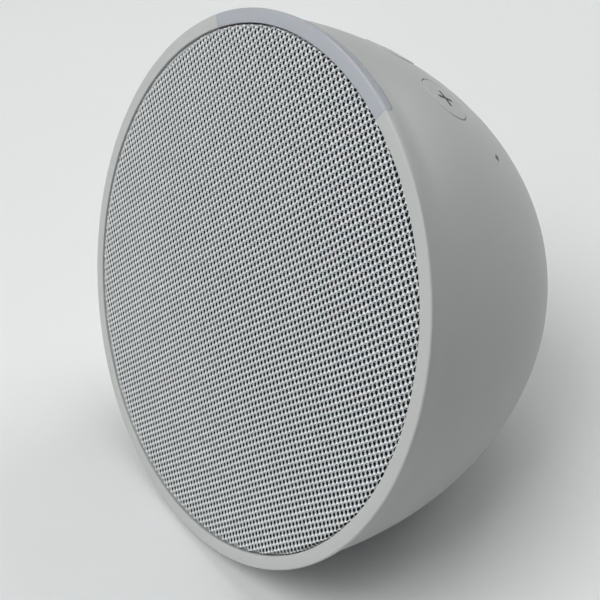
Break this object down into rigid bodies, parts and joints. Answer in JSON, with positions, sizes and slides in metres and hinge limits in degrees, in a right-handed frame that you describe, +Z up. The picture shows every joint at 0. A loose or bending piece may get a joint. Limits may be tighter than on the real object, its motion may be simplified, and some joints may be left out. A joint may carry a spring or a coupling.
{
  "type": "smart speaker",
  "caption": "Tabletop smart speaker: a leaned-back round fabric front on a half-egg housing, with a light bar along the rim, flush push buttons on top and a flat foot pad.",
  "frame": {"origin": "centre of the bounding box's footprint, on the table plane under the foot pad", "axes": "+Z up from the table; the fabric front faces -Y and leans back 24 degrees; +X to the right of a person facing the front"},
  "size_m": [0.099, 0.0817, 0.0912],
  "materials": {
    "housing_plastic": "fine satin moulded surface",
    "grille_cloth": "plain weave of thick round yarn with dark gaps",
    "light_diffuser": "frosted translucent, unlit",
    "clear_plastic": "clear moulded acrylic",
    "led_package": "white package with a yellow lens",
    "circuit_board": "green solder mask",
    "black_plastic": "plain moulded",
    "grey_rubber": "matte moulded rubber",
    "pressed_steel": "pressed and plated",
    "zinc_plate": "bright zinc plate",
    "magnet_ceramic": "ground ferrite",
    "cone_paper": "black pressed pulp",
    "copper_wire": "enamelled copper winding",
    "flex_film": "amber polyimide",
    "spider_cloth": "resin-treated cotton",
    "spreader_aluminium": "bare stamped sheet"
  },
  "bodies": {
    "speaker_body": {"rear_housing": "housing_plastic", "foot_pad": "grey_rubber", "light_bar": "light_diffuser", "light_guide": "clear_plastic", "led_board": "circuit_board", "led_1": "led_package", "led_2": "led_package", "led_3": "led_package", "led_4": "led_package", "led_5": "led_package", "grille_fabric": "grille_cloth", "grille_frame": "black_plastic", "front_chassis": "black_plastic", "chassis_screw_1": "zinc_plate", "chassis_screw_2": "zinc_plate", "chassis_screw_3": "zinc_plate", "chassis_screw_4": "zinc_plate", "speaker_gasket": "grey_rubber", "speaker_basket": "pressed_steel", "surround": "grey_rubber", "spider": "spider_cloth", "top_plate": "pressed_steel", "magnet": "magnet_ceramic", "yoke": "pressed_steel", "speaker_screw_1": "zinc_plate", "speaker_screw_2": "zinc_plate", "speaker_screw_3": "zinc_plate", "speaker_screw_4": "zinc_plate", "speaker_enclosure": "black_plastic", "main_board": "circuit_board", "heat_spreader": "spreader_aluminium", "shield_can": "zinc_plate", "board_screw_1": "zinc_plate", "board_screw_2": "zinc_plate", "board_screw_3": "zinc_plate", "antenna_left": "circuit_board", "antenna_right": "circuit_board", "volume_down_switch": "pressed_steel", "mute_switch": "pressed_steel", "volume_up_switch": "pressed_steel", "button_flex": "flex_film", "button_carrier": "black_plastic", "carrier_screw_1": "zinc_plate", "carrier_screw_2": "zinc_plate", "mic_gasket_left": "grey_rubber", "mic_gasket_right": "grey_rubber", "microphone_left": "zinc_plate", "microphone_right": "zinc_plate", "power_socket": "black_plastic", "power_socket_pin": "pressed_steel"},
    "cone_assembly": {"cone": "cone_paper", "dust_cap": "cone_paper", "voice_coil": "copper_wire"},
    "volume_down": {"volume_down_button": "housing_plastic", "volume_down_plunger": "black_plastic"},
    "mute": {"mute_button": "housing_plastic", "mute_plunger": "black_plastic"},
    "volume_up": {"volume_up_button": "housing_plastic", "volume_up_plunger": "black_plastic"}
  },
  "joints": [
    {"name": "volume_down_press", "type": "slide", "parent": "speaker_body", "child": "volume_down", "axis": [0.331, -0.6003, -0.7281], "range_m": [0, 0.0004], "stiffness_N_per_m": 3000, "springref_m": -0.0001},
    {"name": "mute_press", "type": "slide", "parent": "speaker_body", "child": "mute", "axis": [0, -0.624, -0.7814], "range_m": [0, 0.0004], "stiffness_N_per_m": 3000, "springref_m": -0.0001},
    {"name": "volume_up_press", "type": "slide", "parent": "speaker_body", "child": "volume_up", "axis": [-0.331, -0.6003, -0.7281], "range_m": [0, 0.0004], "stiffness_N_per_m": 3000, "springref_m": -0.0001},
    {"name": "cone_travel", "type": "slide", "parent": "speaker_body", "child": "cone_assembly", "axis": [0, -0.9135, 0.4067], "range_m": [-0.0012, 0.0012], "stiffness_N_per_m": 1800}
  ]
}
